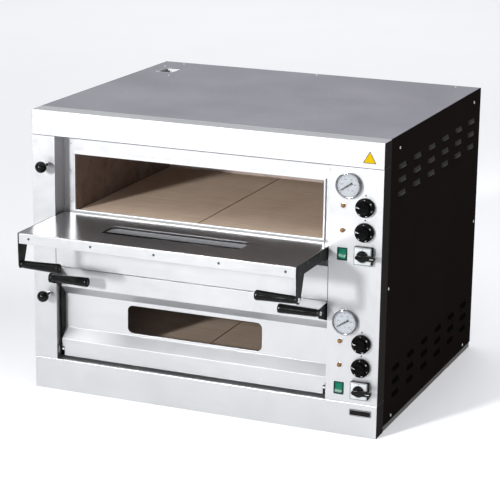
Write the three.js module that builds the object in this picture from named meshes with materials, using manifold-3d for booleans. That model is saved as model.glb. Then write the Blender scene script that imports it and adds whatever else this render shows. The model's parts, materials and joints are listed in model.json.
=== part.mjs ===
// Countertop pizza oven with two baking decks.
// Millimetres, +Z up. The origin is the middle of the underside, X runs to the right as seen from
// the front, and the front of the casing faces -Y. The upper door stands open at rest.

import * as THREE from 'three';
import { mergeVertices } from 'three/addons/utils/BufferGeometryUtils.js';
import Module from 'manifold-3d';

const wasm = await Module();
wasm.setup();

// ---------------------------------------------------------------- driving dimensions

const WIDTH = 975;
const DEPTH = 835;
const HEIGHT = 765;
const SHEET = 2; // casing sheet
const THIN = 1.5; // door and lining sheet
const GAP = 0.3; // between neighbouring pieces
const OVERSHOOT = 1; // how far a cutting tool runs past the face it cuts

const SIDE = WIDTH / 2;
const FRONT_SECTION = 53; // depth of the stainless front section
const PLINTH_TOP = 87;
const FASCIA_BOTTOM = 698.5;
const MID_BOTTOM = 347.5;
const DECK_PITCH = 352; // lower deck to upper deck

const RECESS_LEFT = -421.5; // edge of the left column
const RECESS_RIGHT = 348; // edge of the control panel
const MIDDLE = (RECESS_LEFT + RECESS_RIGHT) / 2; // middle of doors and chambers

const BASE_RAIL = 15; // height of the tray under the body
const BACK_SHEET = 2;

// chamber, in the lower deck's own heights
const CHAMBER = { width: 700, floor: 104, roof: 293, back: 640 };
const MOUTH_SILL = 143;
const MOUTH_RIM = 5;
const STONE = { top: 140, thick: 17, front: 68, back: 636, gap: 3 };
const STONE_LEDGE = { thick: 3, side: 15, middle: 12, front: 4 }; // what the stones rest on
const ELEMENT = { radius: 4, floor: 112, roof: 283, front: 110, back: 600, turn: 80, lead: 16, leadHole: 6 };

// door, closed, in the lower deck's own heights; depths are behind the front plane
const DOOR = { bottom: 94, top: 340, face: 18, back: 46, sunk: 40 };
const DOOR_FOLDS = { lower: [140, 168], upper: [263, 288] }; // slopes down to the sunk middle
const DOOR_SIDE_GAP = 3;
const HINGE_NOTCH = { width: 7, height: 24 };
const ARM = 3; // black end plate
// side view of an arm, as [depth, height]: the horn at the top carries the grip
const ARM_OUTLINE = [
  [18, 94],
  [11, 100],
  [11, 122],
  [18, 130],
  [18, 291],
  [-46, 314],
  [-51, 322],
  [-49, 333],
  [-42, 338],
  [14, 340],
  [46, 340],
  [46, 94],
];
const HINGE = { depth: 21, height: 111, pin: 4, hole: 4.4, plate: 2, reach: 12 };
const WINDOW = { width: 385, bottom: 175, top: 252, corner: 15 };
const PANE = { side: 12, below: 6, above: 9 }; // how far the glass runs past the window
const GRIP = { length: 110, root: 9.5, end: 13, depth: -40, height: 326 };

// controls, in the lower deck's own heights
const GAUGE = { x: 398, z: 300.5, bezel: 34, case: 29, back: 20, proud: 13, dial: 8, reading: 57 };
const NEEDLE = { hub: 3, width: 1.6, length: 32, tail: 9 };
const KNOB = { x: 442, top: 248, bottom: 185, skirt: 25, skirtProud: 12, grip: 17, proud: 22, shaft: 4 };
const ROCKER = { x: 384, z: 123.5, width: 20, height: 26, proud: 2.3, body: 8, pivot: 6, lean: -8 };
const SWITCH = { x: 442, z: 126, side: 47, depth: 15, corner: 2, shaft: 5 };
const LEVER = { short: -14, long: 38, height: 16, thick: 11, dome: 13 };
const PULL = { x: -445, z: 268, ball: 15.5, reach: 32, rod: 3, collar: 5, hole: 4 };

// steam duct behind the left wall of the chambers
const OUTLET = { left: -435, right: -390, front: 662, back: 720 };
const PORT = { front: 590, back: 630, bottom: 250, top: 286 };
const BRANCH = { left: -456, front: 525, bottom: 240, top: 298 };
const DUCT_PLAY = 2; // between a chamber's lining and the duct
const FLAP = { thick: 1.5, play: 2, lap: 5, blade: 3 };

const LOUVRE = { length: 52, height: 9, out: 4.5, lip: 0.6, columns: 6, firstDepth: 141, pitch: 121 };
const LOUVRE_ROWS = [684, 648.5, 613, 152.5, 117, 81.5];

const GLAND = { x: 400, z: 62, hole: 11, nut: 17, cap: 13, cable: 6, proud: 14 };
const BADGE = { left: 414, right: 473, bottom: 54.5, top: 72, corner: 3, proud: 1.5 };

// ---------------------------------------------------------------- small helpers

const finish = (color, roughness, metalness) =>
  new THREE.MeshStandardMaterial({ color, roughness, metalness });

const STAINLESS = () => finish(0xd4d5d8, 0.28, 1);
const DARK_STAINLESS = () => finish(0x8f8e94, 0.35, 1);
const BLACK_PAINT = () => finish(0x171412, 0.5, 0.1);
const BLACK_PLASTIC = () => finish(0x101010, 0.3, 0);
const STONE_CLAY = () => finish(0xa8937f, 0.9, 0);

/** Depth behind the front plane to the row's Y. */
const fromFront = (depth) => depth - DEPTH / 2;

function solid(geometry) {
  const bare = geometry.clone();
  bare.deleteAttribute('normal');
  bare.deleteAttribute('uv');
  const merged = mergeVertices(bare, 1e-4);
  const mesh = new wasm.Mesh({
    numProp: 3,
    vertProperties: new Float32Array(merged.attributes.position.array),
    triVerts: new Uint32Array(merged.index.array),
  });
  return new wasm.Manifold(mesh);
}

function geometryOf(manifold) {
  const mesh = manifold.getMesh();
  const geometry = new THREE.BufferGeometry();
  geometry.setAttribute('position', new THREE.BufferAttribute(mesh.vertProperties, 3));
  geometry.setIndex(new THREE.BufferAttribute(mesh.triVerts, 1));
  geometry.computeVertexNormals();
  return geometry;
}

const join = (solids) => solids.reduce((sum, piece) => sum.add(piece));
const cut = (body, tools) => tools.reduce((rest, tool) => rest.subtract(tool), body);

/** Box from its X, depth-behind-front and Z limits. */
function box([x0, x1], [d0, d1], [z0, z1]) {
  const geometry = new THREE.BoxGeometry(x1 - x0, d1 - d0, z1 - z0);
  geometry.translate((x0 + x1) / 2, fromFront((d0 + d1) / 2), (z0 + z1) / 2);
  return solid(geometry);
}

/** Round bar along Y, from its depth limits. */
function barY(x, z, radius, [d0, d1], sides = 16) {
  const geometry = new THREE.CylinderGeometry(radius, radius, d1 - d0, sides);
  geometry.translate(x, fromFront((d0 + d1) / 2), z);
  return solid(geometry);
}

/** Outline in depth and height, pushed along X between two limits. */
function pushedAlongX(outline, [x0, x1]) {
  const shape = new THREE.Shape(outline.map(([depth, z]) => new THREE.Vector2(fromFront(depth), z)));
  const geometry = new THREE.ExtrudeGeometry(shape, { depth: x1 - x0, bevelEnabled: false });
  const basis = new THREE.Matrix4().makeBasis(
    new THREE.Vector3(0, 1, 0),
    new THREE.Vector3(0, 0, 1),
    new THREE.Vector3(1, 0, 0),
  );
  geometry.applyMatrix4(basis);
  geometry.translate(x0, 0, 0);
  return solid(geometry);
}

/** Round bar along X, from its X limits. */
function barX(depth, z, radius, [x0, x1], sides = 16) {
  const geometry = new THREE.CylinderGeometry(radius, radius, x1 - x0, sides);
  geometry.rotateZ(Math.PI / 2);
  geometry.translate((x0 + x1) / 2, fromFront(depth), z);
  return solid(geometry);
}

/** Outline in X and Z, pushed from one depth to another. */
function pushedAlongY(shape, [d0, d1], curveSegments = 6) {
  const geometry = new THREE.ExtrudeGeometry(shape, { depth: d1 - d0, bevelEnabled: false, curveSegments });
  const basis = new THREE.Matrix4().makeBasis(
    new THREE.Vector3(1, 0, 0),
    new THREE.Vector3(0, 0, 1),
    new THREE.Vector3(0, -1, 0),
  );
  geometry.applyMatrix4(basis);
  geometry.translate(0, fromFront(d1), 0);
  return solid(geometry);
}

/** Rectangle with round corners, in X and Z. */
function roundedRectangle([x0, x1], [z0, z1], radius) {
  const shape = new THREE.Shape();
  shape.moveTo(x0 + radius, z0);
  shape.lineTo(x1 - radius, z0);
  shape.absarc(x1 - radius, z0 + radius, radius, -Math.PI / 2, 0);
  shape.lineTo(x1, z1 - radius);
  shape.absarc(x1 - radius, z1 - radius, radius, 0, Math.PI / 2);
  shape.lineTo(x0 + radius, z1);
  shape.absarc(x0 + radius, z1 - radius, radius, Math.PI / 2, Math.PI);
  shape.lineTo(x0, z0 + radius);
  shape.absarc(x0 + radius, z0 + radius, radius, Math.PI, 1.5 * Math.PI);
  return shape;
}

/** Lathe about an axis along -Y: profile of [radius, distance in front of the panel]. */
function turned(profile, sides = 24) {
  const geometry = new THREE.LatheGeometry(
    profile.map(([radius, out]) => new THREE.Vector2(radius, out)),
    sides,
  );
  geometry.rotateX(Math.PI);
  return solid(geometry);
}

function piece(name, manifold, material, position = [0, 0, 0]) {
  const mesh = new THREE.Mesh(geometryOf(manifold), material);
  mesh.name = name;
  mesh.position.set(...position);
  return mesh;
}

/** Closed outline of a folded sheet: the line itself and the same line moved aside by the thickness. */
function foldedSheet(line, thickness) {
  const inner = line.map((point, index) => {
    const before = line[index - 1] ?? point;
    const after = line[index + 1] ?? point;
    const normals = [[before, point], [point, after]]
      .filter(([from, to]) => from !== to)
      .map(([from, to]) => {
        const along = new THREE.Vector2(to[0] - from[0], to[1] - from[1]).normalize();
        return new THREE.Vector2(along.y, -along.x);
      });
    const sum = normals.reduce((total, normal) => total.clone().add(normal));
    const reach = thickness / (sum.normalize().dot(normals[0]));
    return [point[0] + sum.x * reach, point[1] + sum.y * reach];
  });
  return [...line, ...inner.reverse()];
}

/** Box of sheet with its back open. */
function openBackBox(xs, zs, depth, wall = SHEET) {
  const outer = box(xs, [0, depth], zs);
  const inner = box([xs[0] + wall, xs[1] - wall], [wall, depth + OVERSHOOT], [zs[0] + wall, zs[1] - wall]);
  return outer.subtract(inner);
}

// ---------------------------------------------------------------- casing

function basePan() {
  const wall = SIDE - SHEET;
  const ends = [FRONT_SECTION + GAP, DEPTH - BACK_SHEET];
  const outer = box([-wall, wall], ends, [0, BASE_RAIL]);
  const inner = box(
    [-wall + SHEET, wall - SHEET],
    [ends[0] + SHEET, ends[1] - SHEET],
    [SHEET, BASE_RAIL + OVERSHOOT],
  );
  return piece('base_pan', outer.subtract(inner), finish(0x3d3c3b, 0.5, 0.6));
}

function plinthFront() {
  const shell = openBackBox([-SIDE, SIDE], [0, PLINTH_TOP], FRONT_SECTION);
  return piece('plinth_front', shell, STAINLESS());
}

function topFascia() {
  const shell = openBackBox([-SIDE, SIDE], [FASCIA_BOTTOM, HEIGHT], FRONT_SECTION);
  return piece('top_fascia', shell, STAINLESS());
}

function leftColumn() {
  const shell = openBackBox([-SIDE, RECESS_LEFT], [PLINTH_TOP + GAP, FASCIA_BOTTOM - GAP], FRONT_SECTION);
  const holes = [0, DECK_PITCH].map((lift) =>
    barY(PULL.x, PULL.z + lift, PULL.hole, [-OVERSHOOT, SHEET + OVERSHOOT]),
  );
  return piece('left_column', cut(shell, holes), STAINLESS());
}

function controlPanel() {
  const shell = openBackBox([RECESS_RIGHT, SIDE], [PLINTH_TOP + GAP, FASCIA_BOTTOM - GAP], FRONT_SECTION);
  const through = [-OVERSHOOT, SHEET + OVERSHOOT];
  const play = 1; // round each control's body
  const [halfWidth, halfHeight] = [ROCKER.width / 2 + play, ROCKER.height / 2 + play];
  const holes = [0, DECK_PITCH].flatMap((lift) => [
    barY(GAUGE.x, GAUGE.z + lift, GAUGE.case + play, through, 24),
    barY(KNOB.x, KNOB.top + lift, KNOB.shaft + play, through, 12),
    barY(KNOB.x, KNOB.bottom + lift, KNOB.shaft + play, through, 12),
    barY(SWITCH.x, SWITCH.z + lift, SWITCH.shaft + play, through, 12),
    box(
      [ROCKER.x - halfWidth, ROCKER.x + halfWidth],
      through,
      [ROCKER.z + lift - halfHeight, ROCKER.z + lift + halfHeight],
    ),
  ]);
  return piece('control_panel', cut(shell, holes), STAINLESS());
}

function midFascia() {
  const shell = openBackBox(
    [RECESS_LEFT + GAP, RECESS_RIGHT - GAP],
    [MID_BOTTOM, PLINTH_TOP + DECK_PITCH],
    FRONT_SECTION,
  );
  return piece('mid_fascia', shell, STAINLESS());
}

/** Pressed louvre: a hood with a sloping top, open below. */
function louvreHood(side, depth, z) {
  const shape = new THREE.Shape([
    new THREE.Vector2(0, 0),
    new THREE.Vector2(LOUVRE.out, 0),
    new THREE.Vector2(LOUVRE.lip, LOUVRE.height),
    new THREE.Vector2(0, LOUVRE.height),
  ]);
  const geometry = new THREE.ExtrudeGeometry(shape, { depth: LOUVRE.length, bevelEnabled: false });
  const basis = new THREE.Matrix4().makeBasis(
    new THREE.Vector3(1, 0, 0),
    new THREE.Vector3(0, 0, 1),
    new THREE.Vector3(0, -1, 0),
  );
  geometry.applyMatrix4(basis);
  const bite = 0.2; // into the sheet it is pressed from
  geometry.translate(side - bite, fromFront(depth) + LOUVRE.length / 2, z - LOUVRE.height / 2);
  return solid(geometry);
}

function sideSheet(x0, x1) {
  return box([x0, x1], [FRONT_SECTION + GAP, DEPTH], [BASE_RAIL + GAP, HEIGHT]);
}

function rightSidePanel() {
  const hoods = LOUVRE_ROWS.flatMap((z) =>
    Array.from({ length: LOUVRE.columns }, (_, column) =>
      louvreHood(SIDE, LOUVRE.firstDepth + column * LOUVRE.pitch, z),
    ),
  );
  const panel = join([sideSheet(SIDE - SHEET, SIDE), ...hoods]);
  return piece('right_side_panel', panel, BLACK_PAINT());
}

function leftSidePanel() {
  return piece('left_side_panel', sideSheet(-SIDE, -SIDE + SHEET), BLACK_PAINT());
}

function topCover() {
  const edge = SIDE - SHEET - GAP;
  const ends = [FRONT_SECTION + GAP, DEPTH - BACK_SHEET - GAP];
  const sheet = box([-edge, edge], ends, [HEIGHT - SHEET, HEIGHT]);
  const hole = box(
    [OUTLET.left - GAP, OUTLET.right + GAP],
    [OUTLET.front - GAP, OUTLET.back + GAP],
    [HEIGHT - SHEET - OVERSHOOT, HEIGHT + OVERSHOOT],
  );
  return piece('top_cover', sheet.subtract(hole), finish(0x96939b, 0.4, 0.9));
}

function backPanel() {
  const edge = SIDE - SHEET - GAP;
  const sheet = box([-edge, edge], [DEPTH - BACK_SHEET + GAP, DEPTH], [BASE_RAIL + GAP, HEIGHT - GAP]);
  const hole = barY(GLAND.x, GLAND.z, GLAND.hole, [DEPTH - BACK_SHEET - OVERSHOOT, DEPTH + OVERSHOOT]);
  return piece('back_panel', sheet.subtract(hole), finish(0x9a9a9e, 0.4, 0.9));
}

function cableGland() {
  const inside = DEPTH - 12;
  const nutEnd = DEPTH + 8;
  const capEnd = DEPTH + GLAND.proud;
  const body = barY(GLAND.x, GLAND.z, GLAND.hole - 0.5, [inside, DEPTH + OVERSHOOT]);
  const nut = barY(GLAND.x, GLAND.z, GLAND.nut, [DEPTH + GAP, nutEnd], 6);
  const cap = barY(GLAND.x, GLAND.z, GLAND.cap, [nutEnd - OVERSHOOT, capEnd]);
  const bore = barY(GLAND.x, GLAND.z, GLAND.cable, [inside - OVERSHOOT, capEnd + OVERSHOOT]);
  return piece('cable_gland', join([body, nut, cap]).subtract(bore), BLACK_PLASTIC());
}

function badgePlaque() {
  const shape = roundedRectangle([BADGE.left, BADGE.right], [BADGE.bottom, BADGE.top], BADGE.corner);
  return piece('badge_plaque', pushedAlongY(shape, [-BADGE.proud, -GAP], 2), finish(0x25272c, 0.35, 0.4));
}

// ---------------------------------------------------------------- chambers

const CHAMBER_X = [MIDDLE - CHAMBER.width / 2, MIDDLE + CHAMBER.width / 2];
const LINER_FRONT = FRONT_SECTION + SHEET + 2 * GAP;
const TERMINALS = [-3, 3].map((turns) => MIDDLE + turns * ELEMENT.turn);
const DUCT_RIGHT = CHAMBER_X[0] - THIN - DUCT_PLAY;

function chamberLiner(deck) {
  const [left, right] = CHAMBER_X;
  const outer = box(
    [left - THIN, right + THIN],
    [LINER_FRONT, CHAMBER.back + THIN],
    [CHAMBER.floor - THIN, CHAMBER.roof + THIN],
  );
  const inner = box(CHAMBER_X, [LINER_FRONT - OVERSHOOT, CHAMBER.back], [CHAMBER.floor, CHAMBER.roof]);
  const weld = 0.5; // how far a ledge sinks into the lining
  const under = STONE.top - STONE.thick - GAP;
  const ledgeZ = [under - STONE_LEDGE.thick, under];
  const frontRail = [LINER_FRONT + STONE_LEDGE.front, LINER_FRONT + 2 * STONE_LEDGE.front];
  const alongDepth = [frontRail[0], CHAMBER.back + weld];
  const ledges = [
    box([left - weld, left + STONE_LEDGE.side], alongDepth, ledgeZ),
    box([MIDDLE - STONE_LEDGE.middle, MIDDLE + STONE_LEDGE.middle], alongDepth, ledgeZ),
    box([right - STONE_LEDGE.side, right + weld], alongDepth, ledgeZ),
    box([left - weld, right + weld], frontRail, [CHAMBER.floor - weld, under]),
  ];
  const throughBack = [CHAMBER.back - OVERSHOOT, CHAMBER.back + THIN + OVERSHOOT];
  const leads = TERMINALS.flatMap((x) =>
    [ELEMENT.floor, ELEMENT.roof].map((z) => barY(x, z, ELEMENT.leadHole, throughBack, 12)),
  );
  const port = box(
    [left - THIN - OVERSHOOT, left + OVERSHOOT],
    [PORT.front, PORT.back],
    [PORT.bottom, PORT.top],
  );
  const liner = cut(join([outer.subtract(inner), ...ledges]), [...leads, port]);
  return piece(`${deck}_chamber_liner`, liner, finish(0x5a4a42, 0.55, 0.7));
}

function mouthFrame(deck) {
  const [left, right] = CHAMBER_X;
  const plate = box(
    [RECESS_LEFT - SHEET, RECESS_RIGHT + SHEET],
    [FRONT_SECTION + GAP, FRONT_SECTION + GAP + SHEET],
    [PLINTH_TOP + SHEET, FASCIA_BOTTOM - DECK_PITCH],
  );
  const behindDoor = DOOR.back + 2;
  const rim = box(
    [left - MOUTH_RIM, right + MOUTH_RIM],
    [behindDoor, FRONT_SECTION + SHEET / 2],
    [MOUTH_SILL - MOUTH_RIM, CHAMBER.roof + MOUTH_RIM],
  );
  const mouth = box(
    CHAMBER_X,
    [behindDoor - OVERSHOOT, FRONT_SECTION + GAP + SHEET + OVERSHOOT],
    [MOUTH_SILL, CHAMBER.roof],
  );
  return piece(`${deck}_mouth_frame`, join([plate, rim]).subtract(mouth), STAINLESS());
}

function bakingStones(deck) {
  const [left, right] = CHAMBER_X;
  const half = STONE.gap / 2;
  const play = 2; // at the side walls
  const spans = { left: [left + play, MIDDLE - half], right: [MIDDLE + half, right - play] };
  return Object.entries(spans).map(([side, span]) => {
    const slab = box(span, [STONE.front, STONE.back], [STONE.top - STONE.thick, STONE.top]);
    return piece(`${deck}_stone_${side}`, slab, STONE_CLAY());
  });
}

/** Four runs of tube joined by three half-round turns, with both ends leaving at the back. */
function elementPath(z) {
  const path = new THREE.CurvePath();
  const reach = ELEMENT.turn;
  const point = (x, depth) => new THREE.Vector3(x, fromFront(depth), z);
  const columns = [-3, -1, 1, 3].map((turns) => MIDDLE + turns * reach);
  const exit = CHAMBER.back + ELEMENT.lead;
  const runs = [
    [exit, ELEMENT.front + reach],
    [ELEMENT.front + reach, ELEMENT.back - reach],
    [ELEMENT.back - reach, ELEMENT.front + reach],
    [ELEMENT.front + reach, exit],
  ];
  columns.forEach((x, index) => {
    const [from, to] = runs[index];
    path.add(new THREE.LineCurve3(point(x, from), point(x, to)));
    if (index < columns.length - 1) {
      path.add(new HalfTurn(point(x + reach, to), reach, index % 2 === 0 ? -1 : 1));
    }
  });
  return path;
}

/** Half circle in a level plane from the left of its centre to the right of it. */
class HalfTurn extends THREE.Curve {
  constructor(centre, radius, bulge) {
    super();
    Object.assign(this, { centre, radius, bulge });
  }

  getPoint(t, target = new THREE.Vector3()) {
    const angle = Math.PI * t;
    return target.set(
      this.centre.x - this.radius * Math.cos(angle),
      this.centre.y + this.bulge * this.radius * Math.sin(angle),
      this.centre.z,
    );
  }
}

function heatingElement(deck, place) {
  const section = new THREE.Shape();
  section.absarc(0, 0, ELEMENT.radius, 0, 2 * Math.PI);
  const geometry = new THREE.ExtrudeGeometry(section, {
    extrudePath: elementPath(ELEMENT[place]),
    steps: 44,
    curveSegments: 3,
    bevelEnabled: false,
  });
  return piece(`${deck}_${place}_element`, solid(geometry), finish(0x4a4644, 0.5, 0.8));
}

function steamDuct() {
  const riser = (inset, top) =>
    box(
      [OUTLET.left + inset, OUTLET.right - inset],
      [OUTLET.front + inset, OUTLET.back - inset],
      [BRANCH.bottom + inset, top],
    );
  const branch = (lift, inset) =>
    box(
      [BRANCH.left + inset, DUCT_RIGHT - inset],
      [BRANCH.front + inset, OUTLET.back - inset],
      [BRANCH.bottom + lift + inset, BRANCH.top + lift - inset],
    );
  const decks = [0, DECK_PITCH];
  const outer = join([riser(0, HEIGHT), ...decks.map((lift) => branch(lift, 0))]);
  const inner = join([riser(THIN, HEIGHT + OVERSHOOT), ...decks.map((lift) => branch(lift, THIN))]);
  const throughSide = [DUCT_RIGHT - THIN - OVERSHOOT, DUCT_RIGHT + OVERSHOOT];
  const throughFront = [BRANCH.front - OVERSHOOT, BRANCH.front + THIN + OVERSHOOT];
  const openings = decks.flatMap((lift) => [
    box(throughSide, [PORT.front, PORT.back], [PORT.bottom + lift, PORT.top + lift]),
    barY(PULL.x, PULL.z + lift, PULL.hole, throughFront),
  ]);
  return piece('steam_duct', cut(outer.subtract(inner), openings), finish(0x8a888c, 0.5, 0.9));
}

/** Ball, rod and flap that slide as one piece. */
function damperPull(deck) {
  const flapRight = DUCT_RIGHT - THIN - FLAP.play;
  const flapX = [flapRight - FLAP.thick, flapRight];
  const rodEnd = (PORT.front + PORT.back) / 2 + 6;
  const blade = [rodEnd - 2 * FLAP.blade, rodEnd - FLAP.blade];
  const ball = new THREE.SphereGeometry(PULL.ball, 16, 10);
  ball.rotateX(Math.PI / 2);
  ball.translate(PULL.x, fromFront(-PULL.reach), PULL.z);
  const parts = [
    solid(ball),
    barY(PULL.x, PULL.z, PULL.collar, [-PULL.reach + 10, -PULL.reach + 20]),
    barY(PULL.x, PULL.z, PULL.rod, [-PULL.reach, rodEnd], 12),
    box([PULL.x - 1, flapRight], blade, [PULL.z - PULL.collar, PULL.z + PULL.collar]),
    box(flapX, [PORT.front - FLAP.lap, PORT.back + FLAP.lap], [PORT.bottom - FLAP.lap, PORT.top + FLAP.lap]),
  ];
  return piece(`${deck}_damper_pull`, join(parts), BLACK_PLASTIC());
}

function hingePin(deck, side) {
  const left = side === 'left';
  const wall = left ? RECESS_LEFT + GAP : RECESS_RIGHT - GAP;
  const inward = left ? 1 : -1;
  const span = (from, to) => [wall + inward * from, wall + inward * to].sort((a, b) => a - b);
  const around = 10;
  const plate = box(
    span(0, HINGE.plate),
    [HINGE.depth - around, FRONT_SECTION - 3],
    [HINGE.height - around, HINGE.height + around],
  );
  const pin = barX(HINGE.depth, HINGE.height, HINGE.pin, span(HINGE.plate / 2, HINGE.reach));
  return piece(`${deck}_hinge_pin_${side}`, plate.add(pin), finish(0xc9cacc, 0.35, 1));
}

// ---------------------------------------------------------------- door

const DOOR_X = [RECESS_LEFT + DOOR_SIDE_GAP, RECESS_RIGHT - DOOR_SIDE_GAP];
const SKIN_X = [DOOR_X[0] + ARM + GAP, DOOR_X[1] - ARM - GAP];
const WINDOW_X = [MIDDLE - WINDOW.width / 2, MIDDLE + WINDOW.width / 2];

function windowHole(depths) {
  return pushedAlongY(roundedRectangle(WINDOW_X, [WINDOW.bottom, WINDOW.top], WINDOW.corner), depths);
}

function doorSkin(deck) {
  const inside = DOOR.back - THIN - GAP;
  const line = [
    [inside, DOOR.bottom],
    [DOOR.face, DOOR.bottom],
    [DOOR.face, DOOR_FOLDS.lower[0]],
    [DOOR.sunk, DOOR_FOLDS.lower[1]],
    [DOOR.sunk, DOOR_FOLDS.upper[0]],
    [DOOR.face, DOOR_FOLDS.upper[1]],
    [DOOR.face, DOOR.top],
    [inside, DOOR.top],
  ];
  const sheet = pushedAlongX(foldedSheet(line, THIN), SKIN_X);
  const notchZ = [DOOR.bottom - OVERSHOOT, DOOR.bottom + HINGE_NOTCH.height];
  const notchDepth = [DOOR.face - OVERSHOOT, DOOR.back];
  const notches = [
    box([SKIN_X[0] - OVERSHOOT, SKIN_X[0] + HINGE_NOTCH.width], notchDepth, notchZ),
    box([SKIN_X[1] - HINGE_NOTCH.width, SKIN_X[1] + OVERSHOOT], notchDepth, notchZ),
  ];
  const hole = windowHole([DOOR.sunk - OVERSHOOT, DOOR.sunk + THIN + OVERSHOOT]);
  const skin = cut(sheet, [hole, ...notches]);
  return piece(`${deck}_door_skin`, skin, STAINLESS());
}

function doorInnerPanel(deck) {
  const sheet = box(SKIN_X, [DOOR.back - THIN, DOOR.back], [DOOR.bottom, DOOR.top]);
  const panel = sheet.subtract(windowHole([DOOR.back - THIN - OVERSHOOT, DOOR.back + OVERSHOOT]));
  return piece(`${deck}_door_inner_panel`, panel, DARK_STAINLESS());
}

function doorGlass(deck) {
  const pane = box(
    [WINDOW_X[0] - PANE.side, WINDOW_X[1] + PANE.side],
    [DOOR.sunk + THIN + GAP, DOOR.back - THIN - GAP],
    [WINDOW.bottom - PANE.below, WINDOW.top + PANE.above],
  );
  const glass = finish(0x2a2622, 0.05, 0);
  glass.transparent = true;
  glass.opacity = 0.45;
  return piece(`${deck}_door_glass`, pane, glass);
}

function doorArm(deck, side) {
  const xs = side === 'left' ? [DOOR_X[0], DOOR_X[0] + ARM] : [DOOR_X[1] - ARM, DOOR_X[1]];
  const plate = pushedAlongX(ARM_OUTLINE, xs);
  const bore = barX(HINGE.depth, HINGE.height, HINGE.hole, [xs[0] - OVERSHOOT, xs[1] + OVERSHOOT]);
  return piece(`${deck}_door_arm_${side}`, plate.subtract(bore), BLACK_PAINT());
}

function doorGrip(deck, side) {
  const profile = [
    [0, 0],
    [GRIP.root, 0],
    [GRIP.root + 0.6, 4],
    [GRIP.end, GRIP.length - 5],
    [GRIP.end - 1.2, GRIP.length - 1],
    [GRIP.end - 4, GRIP.length],
    [0, GRIP.length],
  ].map(([radius, along]) => new THREE.Vector2(radius, along));
  const geometry = new THREE.LatheGeometry(profile, 16);
  const left = side === 'left';
  geometry.rotateZ(left ? -Math.PI / 2 : Math.PI / 2);
  const root = left ? DOOR_X[0] + ARM + GAP : DOOR_X[1] - ARM - GAP;
  geometry.translate(root, fromFront(GRIP.depth), GRIP.height);
  return piece(`${deck}_door_grip_${side}`, solid(geometry), BLACK_PLASTIC());
}

/** Door pieces drawn closed, inside a group that turns about the hinge pins. */
function door(deck, opening) {
  const hinge = new THREE.Group();
  hinge.position.set(0, fromFront(HINGE.depth), HINGE.height);
  hinge.rotation.x = opening;
  const closed = new THREE.Group();
  closed.position.copy(hinge.position).negate();
  closed.add(doorSkin(deck), doorInnerPanel(deck), doorGlass(deck));
  for (const side of ['left', 'right']) {
    closed.add(doorArm(deck, side), doorGrip(deck, side));
  }
  hinge.add(closed);
  return hinge;
}

// ---------------------------------------------------------------- controls

const panelPoint = (x, z) => [x, fromFront(0), z];

function gauge(deck) {
  const bezel = turned([
    [0, -GAUGE.back],
    [GAUGE.case, -GAUGE.back],
    [GAUGE.case, GAP],
    [GAUGE.bezel, GAP],
    [GAUGE.bezel, GAUGE.proud - 3],
    [GAUGE.bezel - 2, GAUGE.proud],
    [GAUGE.bezel - 4, GAUGE.proud],
    [GAUGE.bezel - 5, GAUGE.dial],
    [0, GAUGE.dial],
  ]);
  const hubBack = GAUGE.dial + 0.4;
  const hubFront = hubBack + 2.8;
  const needle = join([
    turned([[0, hubBack], [NEEDLE.hub, hubBack], [NEEDLE.hub, hubFront], [0, hubFront]], 12),
    solid(
      new THREE.BoxGeometry(NEEDLE.width, 1, NEEDLE.length).translate(
        0,
        -(hubBack + hubFront) / 2,
        NEEDLE.tail - NEEDLE.length / 2,
      ),
    ),
  ]);
  const pivot = panelPoint(GAUGE.x, GAUGE.z);
  const hand = piece(`${deck}_gauge_needle`, needle, finish(0x1c1c1f, 0.5, 0), pivot);
  hand.rotation.y = THREE.MathUtils.degToRad(GAUGE.reading);
  return [piece(`${deck}_gauge_case`, bezel, finish(0xc6c9ce, 0.2, 1), pivot), hand];
}

function thermostatKnob(deck, place) {
  const knob = turned([
    [0, -12],
    [KNOB.shaft, -12],
    [KNOB.shaft, 1],
    [KNOB.skirt, 1],
    [KNOB.skirt, KNOB.skirtProud - 2],
    [KNOB.skirt - 1.5, KNOB.skirtProud],
    [KNOB.grip + 1, KNOB.skirtProud + 0.5],
    [KNOB.grip, KNOB.proud - 2],
    [KNOB.grip - 2, KNOB.proud],
    [0, KNOB.proud],
  ]);
  return piece(`${deck}_${place}_thermostat_knob`, knob, BLACK_PLASTIC(), panelPoint(KNOB.x, KNOB[place]));
}

function lightRocker(deck) {
  const half = ROCKER.height / 2;
  const face = [
    [0, 0],
    [-half, -ROCKER.proud],
    [-half, ROCKER.body],
    [half, ROCKER.body],
    [half, -ROCKER.proud],
  ];
  const shape = new THREE.Shape(face.map(([z, depth]) => new THREE.Vector2(depth - ROCKER.pivot, z)));
  const geometry = new THREE.ExtrudeGeometry(shape, { depth: ROCKER.width, bevelEnabled: false });
  geometry.applyMatrix4(new THREE.Matrix4().makeBasis(
    new THREE.Vector3(0, 1, 0),
    new THREE.Vector3(0, 0, 1),
    new THREE.Vector3(1, 0, 0),
  ));
  geometry.translate(-ROCKER.width / 2, 0, 0);
  const pivot = [ROCKER.x, fromFront(ROCKER.pivot), ROCKER.z];
  const rocker = piece(`${deck}_light_rocker`, solid(geometry), finish(0x0f7a55, 0.35, 0), pivot);
  rocker.rotation.x = THREE.MathUtils.degToRad(ROCKER.lean);
  return rocker;
}

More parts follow.
